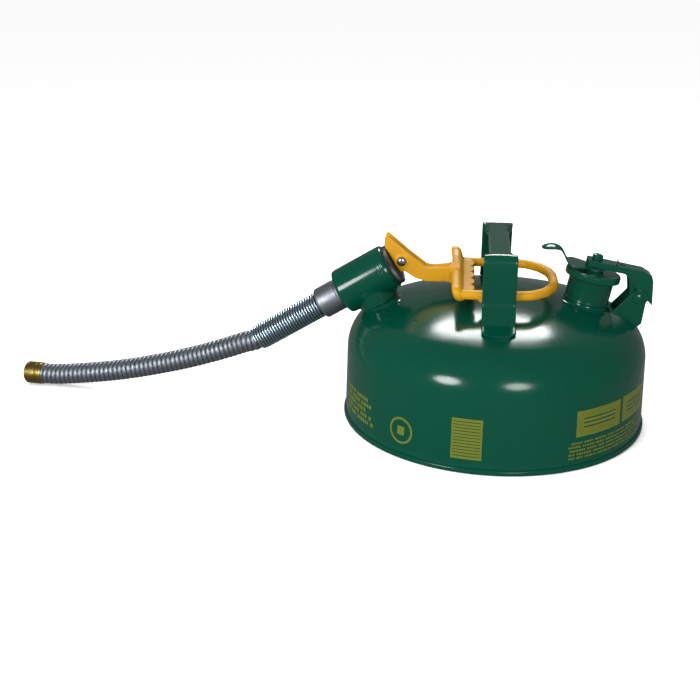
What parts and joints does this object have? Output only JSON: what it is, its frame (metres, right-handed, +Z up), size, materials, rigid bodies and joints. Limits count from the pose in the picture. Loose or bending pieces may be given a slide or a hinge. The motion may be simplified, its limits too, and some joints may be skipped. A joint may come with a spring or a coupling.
{
  "type": "safety gas can",
  "caption": "Flat round steel safety can with a carry handle, a trigger-worked pour valve with a flexible metal hose, and a sprung fill cap.",
  "frame": {"origin": "middle of the base, on the surface that the can stands on", "axes": "+Z up, -X along the hose, +X towards the fill cap, the handle runs along Y"},
  "size_m": [0.6208, 0.286, 0.1728],
  "materials": {
    "green_paint": "gloss powder coat",
    "yellow_paint": "satin powder coat on a casting",
    "zinc_steel": "dull zinc plate",
    "dark_steel": "dark plated steel",
    "spring_steel": "bright spring wire",
    "brass": "dull brass",
    "black_rubber": "moulded rubber"
  },
  "bodies": {
    "can": {"body_shell": "green_paint", "base_pan": "green_paint", "base_chime": "green_paint", "carry_handle": "green_paint", "pour_neck": "green_paint", "pour_screen": "zinc_steel", "valve_body": "green_paint", "valve_seat": "brass", "valve_bonnet": "dark_steel", "bonnet_gasket": "black_rubber", "stem_seal": "black_rubber", "fill_neck": "green_paint", "fill_screen": "zinc_steel", "hinge_bracket": "green_paint", "cap_spring": "spring_steel", "hinge_pin": "green_paint", "hose_nut": "zinc_steel", "hose_guard": "spring_steel", "hose": "zinc_steel", "hose_nozzle": "brass"},
    "trigger": {"trigger_lever": "yellow_paint", "trigger_pin": "dark_steel", "pin_clip": "spring_steel"},
    "stem": {"valve_stem": "zinc_steel", "valve_disc": "brass", "disc_gasket": "black_rubber", "stem_nut": "brass", "valve_spring": "spring_steel"},
    "cap": {"cap_arm": "green_paint", "cap_disc": "green_paint", "cap_rim": "green_paint", "cap_gasket": "black_rubber", "cap_washer": "zinc_steel", "relief_spring": "spring_steel", "thumb_tab": "green_paint", "cap_rivet": "green_paint"}
  },
  "joints": [
    {"name": "trigger_pull", "type": "hinge", "parent": "can", "child": "trigger", "pos_m": [-0.10424, 0, 0.16029], "axis": [0, -1, 0], "range_deg": [0, 6], "stiffness_Nm_per_rad": 6, "springref_deg": -5.73},
    {"name": "valve_slide", "type": "slide", "parent": "can", "child": "stem", "axis": [0.8572, 0, 0.515], "range_m": [0, 0.0019], "deforming": ["valve_spring"]},
    {"name": "cap_open", "type": "hinge", "parent": "can", "child": "cap", "pos_m": [0.12756, 0, 0.12101], "axis": [0, 1, 0], "range_deg": [0, 75], "stiffness_Nm_per_rad": 0.15, "springref_deg": -34.38}
  ],
  "couplings": [
    {"joint": "valve_slide", "follows": "trigger_pull", "m_per_rad": 0.0172}
  ]
}
